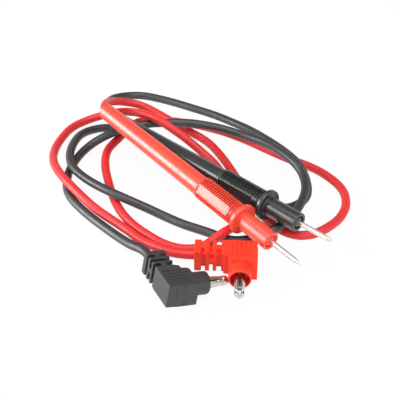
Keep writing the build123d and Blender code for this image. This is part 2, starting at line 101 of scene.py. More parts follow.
class Point(Enum):
    """How a needle's tip is ground: radius of the end, length of the cone, rounding."""

    SHARP = (0.18, 2.6, 0.12)
    BLUNT = (0.42, 1.7, 0.3)


# ---- node tools


class Graph:
    """Node tree, with a short way to add nodes and join them."""

    def __init__(self, tree: bpy.types.NodeTree) -> None:
        """Take over an empty tree."""
        self.tree = tree
        self.named: dict[str, Socket] = {}

    def feed(self, node: Node, inputs: Inputs) -> None:
        """Give a node's inputs their sources.

        Args:
            node: The node.
            inputs: For the name or number of each input, an output to link, the name of one
                of the tree's own inputs, or a value.
        """
        for key, value in inputs.items():
            source = self.named[value] if isinstance(value, str) else value
            if isinstance(source, Socket):
                self.tree.links.new(source, node.inputs[key])
            else:
                node.inputs[key].default_value = source

    def add(self, kind: str, inputs: Inputs | None = None, **options: object) -> Node:
        """Add a node.

        Args:
            kind: Its type.
            inputs: Sources of its inputs.
            options: Its settings.

        Returns:
            The node.
        """
        node = self.tree.nodes.new(kind)
        for key, value in options.items():
            setattr(node, key, value)
        self.feed(node, inputs or {})
        return node


class Shader(Graph):
    """Builds one node material, with short calls for the nodes that recur."""

    def __init__(self, name: str) -> None:
        """Start a material with a principled surface.

        Args:
            name: Its name, which is that of its slot.
        """
        self.material = bpy.data.materials.new(name)
        self.material.use_nodes = True
        super().__init__(self.material.node_tree)
        self.tree.nodes.clear()
        self.surface = self.add("ShaderNodeBsdfPrincipled")
        self.output = self.add("ShaderNodeOutputMaterial", {
            "Surface": self.surface.outputs["BSDF"],
        })

    def noise(self, where: Socket, scale: float, detail: float) -> Socket:
        """Smooth noise from 0 to 1.

        Args:
            where: Coordinates that it is read at.
            scale: Waves for each metre.
            detail: Octaves.

        Returns:
            The socket of the value.
        """
        return self.add("ShaderNodeTexNoise", {
            "Vector": where, "Scale": scale, "Detail": detail,
        }).outputs["Fac"]

    def spread(self, value: Socket, low: float, high: float) -> Socket:
        """Stretch the middle part of a noise.

        Args:
            value: The noise.
            low: Result at 0.3 and below.
            high: Result at 0.7 and above.

        Returns:
            The socket of the result.
        """
        return self.add("ShaderNodeMapRange", {
            "Value": value, "From Min": 0.3, "From Max": 0.7, "To Min": low, "To Max": high,
        }).outputs["Result"]

    def blend(self, factor: Socket, first: Triple | Socket, second: Triple) -> Socket:
        """Mix two colours.

        Args:
            factor: Share of the second one.
            first: Colour at 0, which may come from a node.
            second: Colour at 1.

        Returns:
            The socket of the mixed colour.
        """
        start = first if isinstance(first, Socket) else (*first, 1.0)
        return self.add("ShaderNodeMix", {
            "Factor": factor, "A": start, "B": (*second, 1.0),
        }, data_type="RGBA").outputs["Result"]


# ---- finishes


@dataclass(frozen=True)
class Texture:
    """Noises of a kind of material, each as waves for each metre and octaves."""

    cloud: Pair                  # of the colour
    gloss: Pair
    grain: Pair                  # of the bump
    metallic: float = 0.0


PLASTIC = Texture((90.0, 2.0), (240.0, 3.0), (2200.0, 2.0))
SOFT_PVC = Texture((60.0, 3.0), (420.0, 3.0), (1200.0, 3.0))
METAL = Texture((500.0, 3.0), (900.0, 3.0), (3000.0, 2.0), metallic=1.0)


@dataclass(frozen=True)
class Finish:
    """Material of one slot: cloudy colour, uneven gloss, a faint grain and, on a knurl, painted
    shade in its grooves.
    """

    slot: str
    texture: Texture
    base: Triple
    shade: Triple
    roughness: Pair
    depth: float = 8e-7          # of the grain, in metres
    specular: float = 1.0
    groove_shade: float = 0.0          # painted shade: share of the shade colour kept at the bottom of a knurl's grooves, if it has one

    def material(self) -> Material:
        """Build it as a node material.

        Returns:
            The material.
        """
        shader = Shader(self.slot)
        where = shader.add("ShaderNodeTexCoord").outputs["Object"]
        cloud, gloss, grain = (shader.noise(where, *waves) for waves in (
            self.texture.cloud, self.texture.gloss, self.texture.grain))
        colour = shader.blend(shader.spread(cloud, 0.0, 1.0), self.base, self.shade)
        # Painted shade: the bottom of a knurl's grooves takes a darker copy of the shade colour.
        if self.groove_shade:
            painted_knurl_shade = shader.add("ShaderNodeAttribute", attribute_name=KNURL_SHADE_ATTRIBUTE).outputs["Fac"]
            colour = shader.blend(painted_knurl_shade, colour, tuple(c * self.groove_shade for c in self.shade))
        bump = shader.add("ShaderNodeBump", {"Height": grain, "Distance": self.depth})
        shader.feed(shader.surface, {
            "Base Color": colour,
            "Metallic": self.texture.metallic,
            "Roughness": shader.spread(gloss, *self.roughness),
            "Specular IOR Level": self.specular,
            "Normal": bump.outputs["Normal"],
        })
        return shader.material


FINISHES = {finish.slot: finish for finish in (
    Finish("red_gloss", PLASTIC, (0.95, 0.070, 0.032), (0.92, 0.062, 0.027), (0.33, 0.38),
           groove_shade=0.45),
    Finish("black_gloss", PLASTIC, (0.030, 0.029, 0.031), (0.025, 0.024, 0.026), (0.27, 0.31),
           groove_shade=0.45),
    Finish("red_plug_plastic", PLASTIC, (0.97, 0.045, 0.014), (0.94, 0.038, 0.012), (0.40, 0.48),
           depth=2e-6, specular=0.45),
    Finish("black_plug_plastic", PLASTIC, (0.027, 0.027, 0.029), (0.021, 0.021, 0.023),
           (0.44, 0.54), depth=4e-6, specular=0.8),
    Finish("red_pvc", SOFT_PVC, (0.82, 0.022, 0.024), (0.74, 0.018, 0.020), (0.44, 0.52),
           depth=1.5e-6, specular=0.65),
    Finish("black_pvc", SOFT_PVC, (0.018, 0.018, 0.020), (0.013, 0.013, 0.015), (0.44, 0.52),
           depth=1.5e-6),
    Finish("needle_steel", METAL, (0.84, 0.81, 0.77), (0.76, 0.73, 0.69), (0.36, 0.42),
           specular=0.5),
    Finish("nickel_plate", METAL, (0.72, 0.69, 0.64), (0.63, 0.60, 0.55), (0.18, 0.26),
           specular=0.5),
    Finish("tinned_brass", METAL, (0.78, 0.72, 0.58), (0.70, 0.64, 0.50), (0.25, 0.35),
           specular=0.5),
    Finish("copper", METAL, (0.80, 0.42, 0.26), (0.72, 0.36, 0.22), (0.30, 0.42), specular=0.5),
    Finish("solder", METAL, (0.66, 0.66, 0.67), (0.56, 0.56, 0.57), (0.40, 0.55), specular=0.5),
)}


# ---- the view


def loose(name: str, data: bpy.types.ID, place: Triple = (0.0, 0.0, 0.0),
          ahead: Sequence[float] | None = None) -> Piece:
    """Object in the scene.

    Args:
        name: Its name.
        data: Its mesh, curve, camera or lamp.
        place: Where it stands, in metres.
        ahead: Which way a camera or a lamp looks.

    Returns:
        The object.
    """
    thing = bpy.data.objects.new(name, data)
    bpy.context.scene.collection.objects.link(thing)
    thing.location = place
    if ahead:
        thing.rotation_euler = Vector(ahead).to_track_quat("-Z", "Y").to_euler()
    return thing


@dataclass(frozen=True)
class Softbox:
    """Lamp that faces the middle of the object, in metres and watts."""

    name: str
    place: Triple
    size: Pair
    power: float

    def build(self) -> None:
        """Put it in the scene."""
        data = bpy.data.lights.new(self.name, "AREA")
        data.shape = "RECTANGLE"
        data.size, data.size_y = self.size
        data.energy = self.power
        loose(self.name, data, self.place, -Vector(self.place))


@dataclass(frozen=True)
class Studio:
    """Camera, lamps, world and table, in metres."""

    eye: Triple = (0.24505, -0.18947, 0.2275)
    forward: Triple = (-0.6248, 0.5298, -0.5736)
    lens: float = 87.12          # millimetres
    near: float = 0.01
    lamps: tuple[Softbox, ...] = (
        Softbox("left_softbox", (-0.64, -0.72, 0.31), (0.40, 0.62), 11.0),
        Softbox("top_softbox", (0.1, -0.1, 1.1), (1.0, 1.0), 9.0),
        Softbox("right_fill", (0.90, -0.25, 0.50), (1.2, 0.9), 4.0),
    )
    sky_heights: Pair = (0.08, 0.55)
    sky_strengths: Pair = (1.15, 0.24)
    table_half: float = 3.0
    table_drop: float = 0.00005
    table_grey: float = 0.9
    table_glow: float = 0.95     # share of pure white that the eye and reflections see

    def camera(self) -> None:
        """Place the camera and make it the scene's."""
        data = bpy.data.cameras.new("camera")
        data.lens, data.clip_start = self.lens, self.near
        bpy.context.scene.camera = loose("camera", data, self.eye, self.forward)

    def world(self) -> None:
        """Pale room, bright round the horizon and darker overhead, white to the eye."""
        world = bpy.data.worlds.new("surroundings")
        world.use_nodes = True
        bpy.context.scene.world = world
        world.node_tree.nodes.clear()
        sky = Graph(world.node_tree)
        where = sky.add("ShaderNodeTexCoord").outputs["Generated"]
        fade = sky.add("ShaderNodeMapRange", {
            "Value": sky.add("ShaderNodeSeparateXYZ", {"Vector": where}).outputs["Z"],
            "From Min": self.sky_heights[0], "From Max": self.sky_heights[1],
            "To Min": self.sky_strengths[0], "To Max": self.sky_strengths[1],
        }, interpolation_type="SMOOTHSTEP")
        room = sky.add("ShaderNodeBackground", {"Strength": fade.outputs["Result"]})
        white = sky.add("ShaderNodeBackground", {"Color": (1.0, 1.0, 1.0, 1.0)})
        mix = sky.add("ShaderNodeMixShader", {
            "Fac": sky.add("ShaderNodeLightPath").outputs["Is Camera Ray"],
            1: room.outputs["Background"], 2: white.outputs["Background"],
        })
        sky.add("ShaderNodeOutputWorld", {"Surface": mix.outputs["Shader"]})

    def table(self) -> None:
        """White table that keeps a faint shadow."""
        half = self.table_half
        mesh = bpy.data.meshes.new("table")
        mesh.from_pydata([(-half, -half, 0), (half, -half, 0), (half, half, 0), (-half, half, 0)],
                         [], [(0, 1, 2, 3)])
        table = loose("table", mesh, (0.0, 0.0, -self.table_drop))
        shader = Shader("white_table")
        shader.feed(shader.surface, {
            "Base Color": (*[self.table_grey] * 3, 1.0), "Roughness": 0.9,
            "Specular IOR Level": 0.0,
        })
        glow = shader.add("ShaderNodeEmission")
        path = shader.add("ShaderNodeLightPath").outputs
        seen = shader.add("ShaderNodeMath", {0: path["Is Camera Ray"], 1: path["Is Glossy Ray"]},
                          operation="MAXIMUM")
        share = shader.add("ShaderNodeMath", {0: seen.outputs["Value"], 1: self.table_glow},
                           operation="MULTIPLY")
        mix = shader.add("ShaderNodeMixShader", {
            "Fac": share.outputs["Value"], 1: shader.surface.outputs["BSDF"],
            2: glow.outputs["Emission"],
        })
        shader.feed(shader.output, {"Surface": mix.outputs["Shader"]})
        mesh.materials.append(shader.material)

    def build(self) -> None:
        """Make the whole setting."""
        self.camera()
        for lamp in self.lamps:
            lamp.build()
        self.world()
        self.table()
        bpy.context.scene.view_settings.view_transform = "Standard"


# ---- mesh tools

Outline = list[Pair]


def rounded(corners: Sequence[Triple], steps: int = 4) -> Outline:
    """Round the corners of an open outline.

    Args:
        corners: Two coordinates and a rounding radius for each corner.
        steps: Pieces of each arc.

    Returns:
        The outline's points.
    """
    points: Outline = []
    last = len(corners) - 1
    for i, (x, y, radius) in enumerate(corners):
        if radius <= 0 or i in (0, last):
            points.append((x, y))
            continue
        here = Vector((x, y))
        back = Vector(corners[i - 1][:2]) - here
        ahead = Vector(corners[i + 1][:2]) - here
        half = back.angle(ahead) / 2
        cut = min(radius / math.tan(half), 0.49 * back.length, 0.49 * ahead.length)
        size = cut * math.tan(half)
        inward = (back.normalized() + ahead.normalized()).normalized()
        middle = here + inward * (size / math.sin(half))
        first = here + back.normalized() * cut - middle
        second = here + ahead.normalized() * cut - middle
        for k in range(steps + 1):
            spoke = first.slerp(second, k / steps) if first.angle(second) > WELD else first
            points.append(tuple(middle + spoke.normalized() * size))
    return points


def baked(build: Build) -> Mesh:
    """Merge doubles, turn the faces outwards and write the mesh.

    Args:
        build: The mesh being built, which is used up.

    Returns:
        The mesh.
    """
    bmesh.ops.remove_doubles(build, verts=build.verts, dist=MERGE)
    bmesh.ops.recalc_face_normals(build, faces=build.faces)
    mesh = bpy.data.meshes.new("part")
    build.to_mesh(mesh)
    build.free()
    return mesh


def turned(outline: Outline, spokes: Sequence[float] | int,
           shape: Callable[[float, float, float], float] | None = None) -> Mesh:
    """Turn an outline round X into one closed skin.

    Args:
        outline: Distance along X and radius of each ring, both ends on the axis.
        spokes: Angles of the rings' vertices in radians, or how many even ones.
        shape: Gives the radius at a distance, a plain radius and an angle.

    Returns:
        The mesh, in millimetres.
    """
    angles = [math.tau * k / spokes for k in range(spokes)] if isinstance(spokes, int) else spokes
    count = len(angles)
    build = bmesh.new()
    rings = []
    for x, radius in outline:
        if radius < TINY:
            rings.append([build.verts.new((x, 0, 0))])
            continue
        sizes = [shape(x, radius, angle) if shape else radius for angle in angles]
        rings.append([build.verts.new((x, -size * math.sin(angle), size * math.cos(angle)))
                      for size, angle in zip(sizes, angles)])
    for one, two in zip(rings, rings[1:]):
        for k in range(count):
            n = (k + 1) % count
            corners = [one[k % len(one)], one[n % len(one)], two[n % len(two)], two[k % len(two)]]
            unique = list(dict.fromkeys(corners))
            if len(unique) > 2:
                build.faces.new(unique)
    return baked(build)


def lathed(corners: Sequence[Triple], steps: int, spokes: int,
           shape: Callable[[float, float, float], float] | None = None) -> Mesh:
    """Turn a solid whose outline has rounded corners and closes straight to the axis.

    Args:
        corners: Distance along X, radius and rounding of each corner.
        steps: Pieces of each rounding.
        spokes: Vertices of each ring.
        shape: As turned takes it.

    Returns:
        The mesh, in millimetres.
    """
    ends = [(x, 0.0, 0.0) for x, _, _ in (corners[0], corners[-1])]
    return turned(rounded([ends[0], *corners, ends[1]], steps), spokes, shape)


def softened(build: Build, edges: Iterable[bmesh.types.BMEdge], radius: float) -> Mesh:
    """Round some edges of a solid and write its mesh.

    Args:
        build: The solid, which is used up.
        edges: The edges that are rounded.
        radius: Their radius.

    Returns:
        The mesh.
    """
    bmesh.ops.bevel(build, geom=list(edges), offset=radius, segments=3, profile=0.5,
                    affect="EDGES", clamp_overlap=True)
    return baked(build)


def prism(outline: Outline, low: float, high: float, edge: float) -> Mesh:
    """Upright prism on an outline in the XY plane, with its rims rounded.

    Args:
        outline: The plan, in order.
        low: Height of the bottom.
        high: Height of the top.
        edge: Rounding of the top and bottom rims.

    Returns:
        The mesh, in millimetres.
    """
    build = bmesh.new()
    bottom = [build.verts.new((x, y, low)) for x, y in outline]
    top = [build.verts.new((x, y, high)) for x, y in outline]
    rims = [build.faces.new(list(reversed(bottom))), build.faces.new(top)]
    for k in range(len(outline)):
        n = (k + 1) % len(outline)
        build.faces.new((bottom[k], bottom[n], top[n], top[k]))
    return softened(build, {e for face in rims for e in face.edges}, edge)


def slab(low: Triple, high: Triple, edge: float) -> Mesh:
    """Box with every edge rounded.

    Args:
        low: Its lowest corner.
        high: Its highest corner.
        edge: Radius of the edges.

    Returns:
        The mesh, in millimetres.
    """
    build = bmesh.new()
    bmesh.ops.create_cube(build, size=1.0)
    for vert in build.verts:
        for axis in range(3):
            vert.co[axis] = low[axis] if vert.co[axis] < 0 else high[axis]
    return softened(build, build.edges, edge)


def joined(meshes: Iterable[Mesh]) -> Mesh:
    """Put several closed skins into one mesh.

    Args:
        meshes: The skins.

    Returns:
        The mesh.
    """
    build = bmesh.new()
    for mesh in meshes:
        build.from_mesh(mesh)
    return baked(build)


def evaluated(piece: Piece) -> Mesh:
    """Apply an object's modifiers and drop the object.

    Args:
        piece: The object.

    Returns:
        The plain mesh that it had with its modifiers.
    """
    graph = bpy.context.evaluated_depsgraph_get()
    graph.update()
    mesh = bpy.data.meshes.new_from_object(piece.evaluated_get(graph), depsgraph=graph)
    bpy.data.objects.remove(piece)
    return mesh


def carved(base: Mesh, added: Iterable[Mesh], cut: Iterable[Mesh]) -> Mesh:
    """Join solids to a base and cut others from it.

    Args:
        base: First solid.
        added: Solids that are joined to it.
        cut: Solids that are taken away afterwards.

    Returns:
        The mesh of the result, in millimetres.
    """
    piece = loose("base", base)
    tools = []
    for operation, meshes in (("UNION", added), ("DIFFERENCE", cut)):
        for mesh in meshes:
            tools.append(loose("tool", mesh))
            step = piece.modifiers.new("step", "BOOLEAN")
            step.operation, step.solver, step.object = operation, "EXACT", tools[-1]
    mesh = evaluated(piece)
    for tool in tools:
        bpy.data.objects.remove(tool)
    build = bmesh.new()
    build.from_mesh(mesh)
    bmesh.ops.remove_doubles(build, verts=build.verts, dist=WELD)
    bmesh.ops.dissolve_degenerate(build, dist=WELD, edges=build.edges)
    return baked(build)


class Workshop:
    """Turns meshes in millimetres into finished pieces of the scene."""

    def __init__(self, slots: dict[str, str]) -> None:
        """Start with no material made.

        Args:
            slots: Material slot of each CAD node.
        """
        self.slots = slots
        self.made: dict[str, Material] = {}

    def material(self, node: str) -> Material:
        """Finish of a CAD node's slot, made once.

        Args:
            node: Name of the node.

        Returns:
            The material.
        """
        slot = self.slots[node]
        if slot not in self.made:
            self.made[slot] = FINISHES[slot].material()
        return self.made[slot]

    def register(self, piece: Piece, body: str, node: str) -> Piece:
        """Tell the frame what a piece rides on and stands for.

        Args:
            piece: The piece.
            body: Body that it rides on.
            node: CAD node that it stands for.

        Returns:
            The piece.
        """
        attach(piece, body)
        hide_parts(node)
        LOG.info("%s stands for %s on %s", piece.name, node, body)
        return piece

    def finish(self, name: str, mesh: Mesh, matrix: Matrix, body: str, node: str) -> Piece:
        """Dress a mesh, put it in its place and register it.

        Args:
            name: Name of the piece.
            mesh: Its mesh, in millimetres and its own axes.
            matrix: Its place, in millimetres.
            body: Body that it rides on.
            node: CAD node that it stands for.

        Returns:
            The piece.
        """
        mesh.transform(Matrix.Scale(MM, 4) @ matrix)
        build = bmesh.new()
        build.from_mesh(mesh)
        for face in build.faces:
            face.smooth = True
        for edge in build.edges:
            edge.smooth = edge.calc_face_angle(math.pi) < CREASE
        build.to_mesh(mesh)
        build.free()
        mesh.materials.clear()
        mesh.materials.append(self.material(node))
        rough = loose("rough", mesh)
        rough.modifiers.new("even_shading", "WEIGHTED_NORMAL").keep_sharp = True
        smooth = evaluated(rough)
        smooth.name = name
        return self.register(loose(name, smooth), body, node)


# ---- node trees


class Tree(Graph):
    """Geometry node tree with named inputs that sets a part on many points."""

    def __init__(self, name: str, counts: Iterable[str], sizes: Iterable[str]) -> None:
        """Start a tree with its named inputs and a geometry output.

        Args:
            name: Name of the tree.
            counts: Names of its whole-number inputs.
            sizes: Names of its other numbers.
        """
        super().__init__(bpy.data.node_groups.new(name, "GeometryNodeTree"))
        face = self.tree.interface
        face.new_socket("Geometry", in_out="OUTPUT", socket_type="NodeSocketGeometry")
        self.keys: dict[str, str] = {}
        for kind, names in (("Int", counts), ("Float", sizes), ("Material", ["Material"])):
            for key in names:
                socket = face.new_socket(key, in_out="INPUT", socket_type=f"NodeSocket{kind}")
                self.keys[key] = socket.identifier
        self.named = dict(self.add("NodeGroupInput").outputs.items())

    def math(self, operation: str, first: object, second: object = 0.0) -> Socket:
        """Result of a math node on two values."""
        return self.add("ShaderNodeMath", {0: first, 1: second}, operation=operation).outputs[0]

    def span(self, count: str, pitch: object) -> Socket:
        """Length of a row with that many places and that pitch."""
        return self.math("MULTIPLY", self.math("SUBTRACT", count, 1.0), pitch)

    def position(self) -> bpy.types.NodeOutputs:
        """X, Y and Z of the points, as they are where the result is used."""
        spot = self.add("GeometryNodeInputPosition").outputs[0]
        return self.add("ShaderNodeSeparateXYZ", {0: spot}).outputs

    def moved(self, points: Socket, x: object, y: object, z: object) -> Socket:
        """Points put at new coordinates."""
        return self.add("GeometryNodeSetPosition", {
            "Geometry": points, "Position": self.vector(x, y, z),
        }).outputs["Geometry"]

    def vector(self, x: object, y: object, z: object) -> Socket:
        """Three values in one."""
        return self.add("ShaderNodeCombineXYZ", {"X": x, "Y": y, "Z": z}).outputs[0]

    def close(self, points: Socket, part: Socket, scale: Socket,
              turn: Socket | Triple = (0.0, 0.0, 0.0)) -> None:
        """Set the part on the points, realize the copies, give them their material and end.

        Args:
            points: Where the copies go.
            part: What is copied.
            scale: Size of each copy.
            turn: Turn of each copy, in radians about X, Y and Z.
        """
        copies = self.add("GeometryNodeInstanceOnPoints", {
            "Points": points, "Instance": part, "Scale": scale, "Rotation": turn,
        })
        real = self.add("GeometryNodeRealizeInstances", {0: copies.outputs[0]})
        dress = self.add("GeometryNodeSetMaterial", {
            "Geometry": real.outputs[0], "Material": "Material",
        })
        self.add("NodeGroupOutput", {0: dress.outputs[0]})

    def grow(self, values: dict[str, object]) -> Mesh:
        """Run the tree once.

        Args:
            values: Value of each named input.

        Returns:
            The plain mesh that it makes.
        """
        piece = loose("grown", bpy.data.meshes.new("grown"))
        grower = piece.modifiers.new("grower", "NODES")
        grower.node_group = self.tree
        for key, value in values.items():
            grower[self.keys[key]] = value
        return evaluated(piece)


PAD_TOP = 0.52               # half diagonals of a pad that is one wide
PAD_FOOT = 0.7071
PAD_SEAT = -0.1              # share of its height that a pad stands off the skin


def knurl_tree() -> Tree:
    """Rows of small raised pads round a grip, left out over its two flats.

    Returns:
        The tree.
    """
    tree = Tree("knurl_pads", ("Rings", "Around"), (
        "First", "Pitch", "Radius", "Pad Length", "Pad Width", "Pad Height",
        "Flat Start", "Flat End", "Flat Reach"))
    length = tree.span("Rings", "Pitch")
    step = tree.math("DIVIDE", math.tau, "Around")
    grid = tree.add("GeometryNodeMeshGrid", {
        "Size X": length, "Size Y": tree.span("Around", step),
        "Vertices X": "Rings", "Vertices Y": "Around",
    })
    flat = tree.position()
    ahead = tree.math("ADD", flat["X"], tree.math("MULTIPLY", length, 0.5))
    along = tree.math("ADD", ahead, "First")
    angle = tree.math("ADD", flat["Y"], tree.math("MULTIPLY", step, 0.5))
    across = tree.math("MULTIPLY", tree.math("MULTIPLY", tree.math("SINE", angle), -1.0), "Radius")
    up = tree.math("MULTIPLY", tree.math("COSINE", angle), "Radius")
    keep = tree.add("GeometryNodeCaptureAttribute")
    keep.capture_items.new("VECTOR", "turn")
    tree.feed(keep, {"Geometry": grid.outputs["Mesh"], "turn": tree.vector(angle, 0.0, 0.0)})
    wrapped = tree.moved(keep.outputs["Geometry"], along, across, up)
    spot = tree.position()
    inside = tree.math("MULTIPLY", tree.math("GREATER_THAN", spot["X"], "Flat Start"),
                       tree.math("LESS_THAN", spot["X"], "Flat End"))
    narrow = tree.math("LESS_THAN", tree.math("ABSOLUTE", spot["Y"]), "Flat Reach")
    kept = tree.add("GeometryNodeDeleteGeometry", {
        "Geometry": wrapped, "Selection": tree.math("MULTIPLY", inside, narrow),
    }, domain="POINT")
    pad = tree.add("GeometryNodeMeshCone", {
        "Vertices": 4, "Radius Top": PAD_TOP, "Radius Bottom": PAD_FOOT, "Depth": 1.0,
    }, fill_type="NGON")
    square = tree.add("GeometryNodeTransform", {
        "Geometry": pad.outputs["Mesh"], "Rotation": (0.0, 0.0, math.pi / 4),
        "Translation": (0.0, 0.0, PAD_SEAT),
    })
    tree.close(kept.outputs["Geometry"], square.outputs["Geometry"],
               tree.vector("Pad Length", "Pad Width", "Pad Height"), keep.outputs["turn"])
    return tree


def rib_tree() -> Tree:
    """Row of rounded finger ribs on the two broad faces of a plug.

    Returns:
        The tree.
    """
    tree = Tree("finger_ribs", ("Count",), (
        "Pitch", "Rib Length", "Rib Width", "Rib Height", "Seat", "Shift X", "Shift Y"))
    grid = tree.add("GeometryNodeMeshGrid", {
        "Size X": tree.math("MULTIPLY", "Seat", 2.0), "Size Y": tree.span("Count", "Pitch"),
        "Vertices X": 2, "Vertices Y": "Count",
    })
    flat = tree.position()
    shifted = tree.math("ADD", flat["Y"], "Shift Y")
    stood = tree.moved(grid.outputs["Mesh"], "Shift X", shifted, flat["X"])
    bar = tree.add("GeometryNodeMeshCylinder", {
        "Vertices": 20, "Radius": 1.0, "Depth": 1.0,
    }, fill_type="NGON")
    lying = tree.add("GeometryNodeTransform", {
        "Geometry": bar.outputs["Mesh"], "Rotation": (0.0, math.pi / 2, 0.0),
    })
    size = tree.vector("Rib Length", tree.math("MULTIPLY", "Rib Width", 0.5), "Rib Height")
    tree.close(stood, lying.outputs["Geometry"], size)
    return tree


# ---- leads

RED_ROUTE = [
    (-65.8, 19.1, 17.8), (-71.2, 24.1, 15.2), (-75.2, 29.7, 12), (-75.2, 36.7, 9.2),
    (-70.4, 42.9, 7.3), (-60.6, 45.1, 6), (-52.4, 45.5, 5.8), (-42, 47.7, 4.2),
    (-32.6, 50.3, 2.5), (-20.2, 47.7, 1.8), (-5, 41.9, 1.8), (5, 37.5, 1.8), (15, 33.9, 1.8),
    (25, 30.5, 1.8), (34, 29.5, 1.8), (41.6, 31.6, 1.8), (45.4, 37.4, 1.8), (46, 45, 1.8),
    (44.7, 53.6, 1.8), (39.9, 62.5, 1.8), (31, 69.6, 1.8), (18.4, 71.7, 1.8), (9, 70.7, 1.8),
    (0.8, 68.2, 1.8), (-10.2, 66.5, 1.8), (-22.6, 64.9, 1.8), (-34, 62.3, 1.8), (-43, 58.7, 1.8),
    (-50.4, 54.9, 1.8), (-57.4, 50.5, 1.8), (-61.8, 44.1, 2.2), (-63, 37.9, 4.2),
    (-61.4, 31.9, 5.8), (-59.4, 25.9, 5.3), (-58.8, 19.7, 2.8), (-57, 13.7, 1.8), (-52, 8.5, 1.8),
    (-44.4, 3.1, 1.8), (-34, -2.5, 1.8), (-25, -6.9, 1.8), (-14.6, -10.7, 1.8),
    (-4.6, -12.2, 1.8), (4.4, -11.8, 1.8), (13.4, -10.6, 1.8), (20, -7.2, 1.8), (25, -2.3, 3),
    (26.3, 3.8, 5.4), (26, 9, 6.1), (23, 15.1, 3), (18.6, 21.9, 2), (9, 29.5, 1.8),
    (-3, 35.5, 1.8), (-14.8, 40.7, 2.2), (-24, 40.3, 4.6), (-31.4, 38.1, 8.5),
    (-38.2, 35.1, 12.2), (-45.2, 33.3, 14.2), (-53.4, 32.3, 13.8), (-63.8, 32.3, 10.6),
    (-74, 31.5, 6.3), (-80.6, 27.1, 3.1), (-83.4, 20.5, 1.8), (-82.6, 11.5, 1.8),
    (-77.4, 2.5, 1.8), (-71, -5.5, 1.8), (-61.4, -12.1, 3.4), (-48.6, -16.9, 6),
    (-38.6, -18.5, 6.2), (-28, -18.9, 5), (-20, -18.1, 3.2), (-11.4, -16.5, 2),
    (-2.8, -15.7, 1.8), (6, -16.3, 2.4), (14.8, -15.7, 4.2),
]
BLACK_ROUTE = [
    (-68.8, 22.7, 11.6), (-77, 27.1, 8.9), (-84, 33.1, 6.3), (-89, 39.7, 4.2), (-89.6, 47.7, 2.4),
    (-85.6, 54.7, 1.8), (-77.6, 58.9, 1.8), (-68.6, 62.5, 1.8), (-59, 65.5, 1.8),
    (-49.4, 68.7, 1.8), (-38, 70.7, 1.8), (-27.8, 70.9, 2.8), (-14.3, 68, 5.4), (-1.5, 66.1, 6.4),
    (9.1, 64.4, 6.2), (15.4, 62.7, 3.8), (21.8, 58.5, 1.8), (26.2, 53.1, 1.8), (27.4, 46.9, 1.8),
    (26.8, 40.3, 2.4), (21.6, 36.9, 4.2), (14.4, 35.2, 5.8), (7, 34.3, 6.2), (-0.4, 33.3, 5.9),
    (-10, 32.5, 5.5), (-21, 31.9, 3.6), (-33, 31.1, 2), (-46, 30.5, 1.8), (-58, 29.9, 1.8),
    (-67, 28.1, 1.8), (-73, 22.9, 1.8), (-75.2, 16.1, 1.8), (-72.8, 9.1, 3), (-65, 0.3, 5),
    (-57.2, -6.3, 6), (-49, -10.3, 6.2), (-41.2, -11.1, 6.2), (-33, -10.7, 6.2), (-24, -9.1, 6.2),
    (-16, -6.3, 5.4), (-8, -1.7, 3), (-0.4, 1.1, 1.8), (8.2, 3.3, 1.8), (14.6, 6, 1.8),
    (20.2, 8, 1.8), (26.5, 9.6, 1.8), (30.9, 13.6, 2), (34.6, 19.1, 3.8), (36.6, 24.5, 5.45),
    (36.6, 30.5, 5.45), (34.6, 37.1, 5.6), (31.4, 44.5, 6), (25.6, 53.3, 6), (18, 58.9, 7),
    (11.4, 60.2, 9), (2.8, 61.4, 9.2), (-9.8, 64.1, 7), (-21.6, 62.9, 5.4), (-31, 58.3, 6.5),
    (-37.4, 51.3, 8.6), (-42.6, 44.7, 9.8), (-47.2, 37.9, 10), (-51.4, 32.3, 10),
    (-54.4, 27.1, 9.2), (-58, 21.5, 7.9), (-61.2, 16.5, 5.8), (-63.4, 9.7, 3), (-61, 1.1, 1.8),
    (-53.8, -8.9, 1.8), (-47.6, -14.5, 1.8), (-41.2, -18.5, 1.8), (-35, -20.5, 1.8),
    (-23.2, -21.7, 1.8), (-10.6, -21.5, 1.8), (-0.2, -21.5, 2.4), (8, -22.1, 4.2),
]


@dataclass(frozen=True)
class Lay:
    """How one lead of the pair lies and differs from the other."""

    route: Sequence[Triple]
    probe_roll: float            # degrees about the probe's axis
    plug_roll: float             # degrees about the pin
    cage_turn: float             # degrees that the cage's slots are turned by
    first_run: float             # straight run out of the handle
    length: float                # of the whole free lead, in metres
    point: Point


LAYS = {
    Colour.RED: Lay(RED_ROUTE, 60.0, 180.0, 0.0, 3.8, 0.704, Point.SHARP),
    Colour.BLACK: Lay(BLACK_ROUTE, 77.0, -2.5, 40.0, 5.2, 0.689, Point.BLUNT),
}
NEEDLE_MIDDLE = 21.45        # guard face to the middle of the needle's straight stretch
CAGE_MIDDLE = 12.9           # middle of the block to the middle of the spring cage
HANDLE_MOUTH = -86.5         # where the lead leaves the handle
RELIEF_MOUTH = (-2.0, 17.1)  # where it enters the plug
LAST_RUN = 7.0               # straight run into the plug


